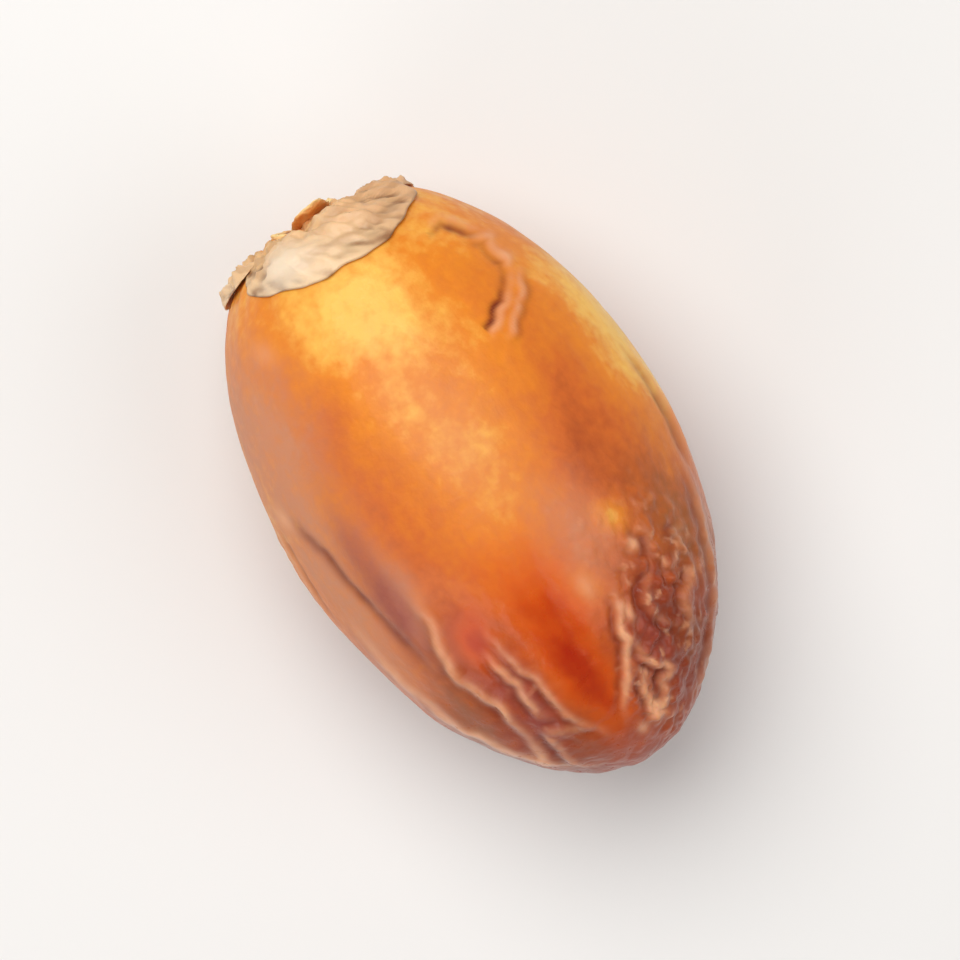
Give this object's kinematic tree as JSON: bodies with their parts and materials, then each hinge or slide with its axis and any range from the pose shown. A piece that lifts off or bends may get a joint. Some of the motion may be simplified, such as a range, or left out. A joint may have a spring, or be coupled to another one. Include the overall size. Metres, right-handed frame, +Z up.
{
  "type": "date",
  "caption": "Semi-dry date lying on its side: a plump wrinkled oval fruit with its papery calyx of overlapping petals and small sepal cup still on one end.",
  "frame": {"origin": "under the middle of the whole object's bounding box, on the surface that the fruit rests on", "axes": "+X along the fruit from its calyx to its tip, +Z up from the flat it rests on, +Y to the side that the fruit bows towards"},
  "size_m": [0.0418, 0.026, 0.0241],
  "materials": {
    "skin": "semi-gloss",
    "petal": "matte",
    "sepal": "matte"
  },
  "bodies": {
    "root": {"fruit": "skin", "petal_1": "petal", "petal_2": "petal", "petal_3": "petal", "sepal_cup": "sepal"}
  },
  "joints": []
}
